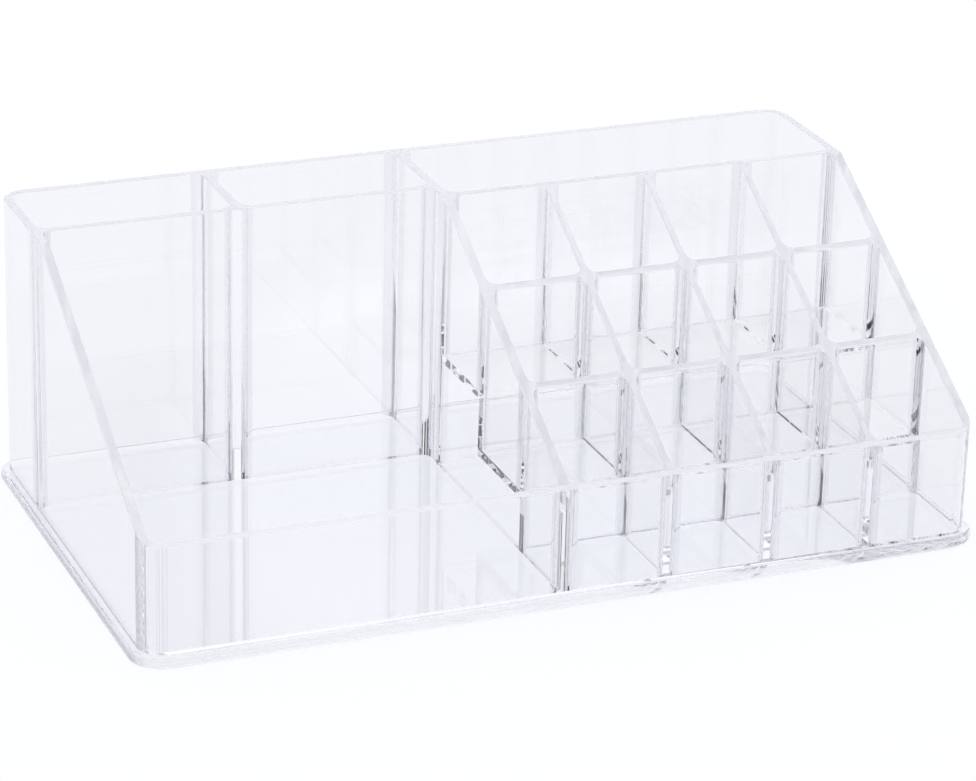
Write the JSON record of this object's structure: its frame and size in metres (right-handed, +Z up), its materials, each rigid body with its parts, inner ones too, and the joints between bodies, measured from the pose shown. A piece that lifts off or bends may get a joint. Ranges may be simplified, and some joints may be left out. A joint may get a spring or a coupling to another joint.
{
  "type": "vanity organizer",
  "caption": "Clear countertop vanity organizer: tall bins, open tray and rear channel beside stepped lipstick slots, on a ledged base sheet.",
  "frame": {"origin": "middle of the underside of the base sheet, on the surface it stands on", "axes": "+X to the right along the width, +Y to the back, +Z up; the low front wall faces -Y"},
  "size_m": [0.222, 0.125, 0.077],
  "materials": {
    "clear_acrylic": "polished clear acrylic"
  },
  "bodies": {
    "root": {"base_plate": "clear_acrylic", "back_wall": "clear_acrylic", "front_wall": "clear_acrylic", "left_wall": "clear_acrylic", "right_wall": "clear_acrylic", "middle_wall": "clear_acrylic", "bin_front_wall": "clear_acrylic", "bin_divider": "clear_acrylic", "slot_rear_wall": "clear_acrylic", "lower_step_wall": "clear_acrylic", "upper_step_wall": "clear_acrylic", "middle_slot_floor": "clear_acrylic", "rear_slot_floor": "clear_acrylic", "front_divider_left": "clear_acrylic", "front_divider_centre": "clear_acrylic", "front_divider_right": "clear_acrylic", "middle_divider_left": "clear_acrylic", "middle_divider_centre": "clear_acrylic", "middle_divider_right": "clear_acrylic", "rear_divider_left": "clear_acrylic", "rear_divider_centre": "clear_acrylic", "rear_divider_right": "clear_acrylic"}
  },
  "joints": []
}
